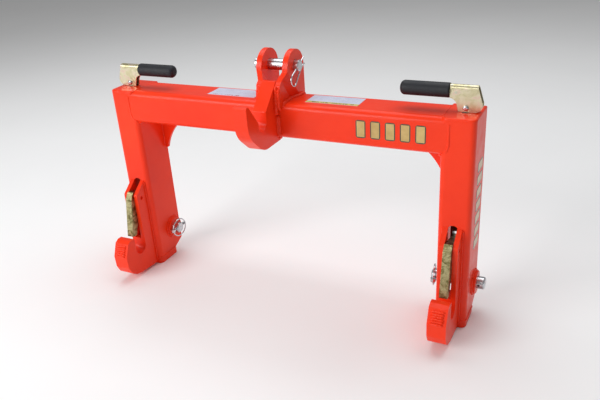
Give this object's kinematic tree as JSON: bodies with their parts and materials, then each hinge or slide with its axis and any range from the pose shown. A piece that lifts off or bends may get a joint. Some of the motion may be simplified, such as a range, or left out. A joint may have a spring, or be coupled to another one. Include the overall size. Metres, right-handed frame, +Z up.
{
  "type": "three-point hitch quick coupler",
  "caption": "Inverted-U frame with lower hooks, lever-released latches, an upper hook and a mast clevis, for a tractor's three-point hitch.",
  "frame": {"origin": "midpoint between the two lower hook seats, on their common axis", "axes": "+X along the lower hooks' common axis, to the right seen from the implement; +Y towards the tractor; +Z up"},
  "size_m": [0.948, 0.2305, 0.592],
  "materials": {
    "frame_paint": "glossy orange-red enamel",
    "yellow_zinc": "yellow passivated zinc plate",
    "bright_zinc": "bright zinc plate",
    "dark_steel": "oiled steel",
    "grip_rubber": "moulded rubber",
    "label_film": "pale printed film",
    "gold_film": "gold film with a dark outline"
  },
  "bodies": {
    "frame": {"cross_tube": "frame_paint", "upper_hook": "frame_paint", "label_right": "label_film", "label_left": "label_film", "tube_badge": "gold_film", "leg_strip": "gold_film", "leg_channel_right": "frame_paint", "leg_channel_left": "frame_paint", "leg_cap_right": "frame_paint", "leg_cap_left": "frame_paint", "leg_foot_right": "frame_paint", "leg_foot_left": "frame_paint", "pin_bosses_right": "frame_paint", "pin_bosses_left": "frame_paint", "corner_gusset_right": "frame_paint", "corner_gusset_left": "frame_paint", "mast_ear_right": "frame_paint", "mast_ear_left": "frame_paint", "hook_cheeks_right": "frame_paint", "hook_cheeks_left": "frame_paint", "hook_core_right": "frame_paint", "hook_core_left": "frame_paint", "latch_pivot_right": "frame_paint", "latch_pivot_left": "frame_paint", "guide_bush_right": "dark_steel", "guide_bush_left": "dark_steel"},
    "rod_right": {"lift_rod_right": "dark_steel", "rod_collar_right": "dark_steel", "rod_spring_right": "dark_steel", "rod_yoke_right": "dark_steel", "yoke_pin_right": "dark_steel"},
    "lever_right": {"lever_bracket_right": "yellow_zinc", "lever_rivet_right": "yellow_zinc", "lever_grip_right": "grip_rubber"},
    "latch_right": {"latch_right": "yellow_zinc"},
    "link_pin_right": {"link_pin_right": "bright_zinc", "link_roll_pin_right": "dark_steel", "lynch_pin_right": "bright_zinc"},
    "lynch_ring_right": {"lynch_ring_right": "bright_zinc"},
    "rod_left": {"lift_rod_left": "dark_steel", "rod_collar_left": "dark_steel", "rod_spring_left": "dark_steel", "rod_yoke_left": "dark_steel", "yoke_pin_left": "dark_steel"},
    "lever_left": {"lever_bracket_left": "yellow_zinc", "lever_rivet_left": "yellow_zinc", "lever_grip_left": "grip_rubber"},
    "latch_left": {"latch_left": "yellow_zinc"},
    "link_pin_left": {"link_pin_left": "bright_zinc", "link_roll_pin_left": "dark_steel", "lynch_pin_left": "bright_zinc"},
    "lynch_ring_left": {"lynch_ring_left": "bright_zinc"},
    "top_pin": {"top_pin": "bright_zinc", "top_roll_pin": "dark_steel"},
    "r_clip": {"r_clip": "bright_zinc"}
  },
  "joints": [
    {"name": "rod_lift_right", "type": "slide", "parent": "frame", "child": "rod_right", "axis": [0, 0, 1], "range_m": [0, 0.0285], "stiffness_N_per_m": 2500, "springref_m": -0.02, "deforming": ["rod_spring_right"]},
    {"name": "lever_lift_right", "type": "hinge", "parent": "rod_right", "child": "lever_right", "pos_m": [0.417, 0.1063, 0.4134], "axis": [0, 1, 0], "range_deg": [0, 90]},
    {"name": "latch_open_right", "type": "hinge", "parent": "frame", "child": "latch_right", "pos_m": [0.412, 0.035, 0.126], "axis": [1, 0, 0], "range_deg": [0, 22.6]},
    {"name": "link_pin_turn_right", "type": "hinge", "parent": "frame", "child": "link_pin_right", "pos_m": [0.412, 0.1275, 0], "axis": [1, 0, 0], "continuous": true},
    {"name": "lynch_ring_swing_right", "type": "hinge", "parent": "link_pin_right", "child": "lynch_ring_right", "pos_m": [0.3615, 0.1035, 0], "axis": [0, 0, 1], "range_deg": [0, 160]},
    {"name": "rod_lift_left", "type": "slide", "parent": "frame", "child": "rod_left", "axis": [0, 0, 1], "range_m": [0, 0.0285], "stiffness_N_per_m": 2500, "springref_m": -0.02, "deforming": ["rod_spring_left"]},
    {"name": "lever_lift_left", "type": "hinge", "parent": "rod_left", "child": "lever_left", "pos_m": [-0.417, 0.1063, 0.4134], "axis": [0, -1, 0], "range_deg": [0, 90]},
    {"name": "latch_open_left", "type": "hinge", "parent": "frame", "child": "latch_left", "pos_m": [-0.412, 0.035, 0.126], "axis": [1, 0, 0], "range_deg": [0, 22.6]},
    {"name": "link_pin_turn_left", "type": "hinge", "parent": "frame", "child": "link_pin_left", "pos_m": [-0.412, 0.1275, 0], "axis": [1, 0, 0], "continuous": true},
    {"name": "lynch_ring_swing_left", "type": "hinge", "parent": "link_pin_left", "child": "lynch_ring_left", "pos_m": [-0.3615, 0.1035, 0], "axis": [0, 0, -1], "range_deg": [0, 160]},
    {"name": "top_pin_turn", "type": "hinge", "parent": "frame", "child": "top_pin", "pos_m": [0, 0.1165, 0.4755], "axis": [1, 0, 0], "continuous": true},
    {"name": "clip_swivel", "type": "hinge", "parent": "top_pin", "child": "r_clip", "pos_m": [0.045, 0.1165, 0.4755], "axis": [0, -0.915, -0.4035], "range_deg": [0, 180]}
  ],
  "couplings": [
    {"joint": "rod_lift_right", "follows": "lever_lift_right", "m_per_rad": 0.018},
    {"joint": "latch_open_right", "follows": "lever_lift_right", "ratio": 0.2492},
    {"joint": "rod_lift_left", "follows": "lever_lift_left", "m_per_rad": 0.018},
    {"joint": "latch_open_left", "follows": "lever_lift_left", "ratio": 0.2492}
  ]
}
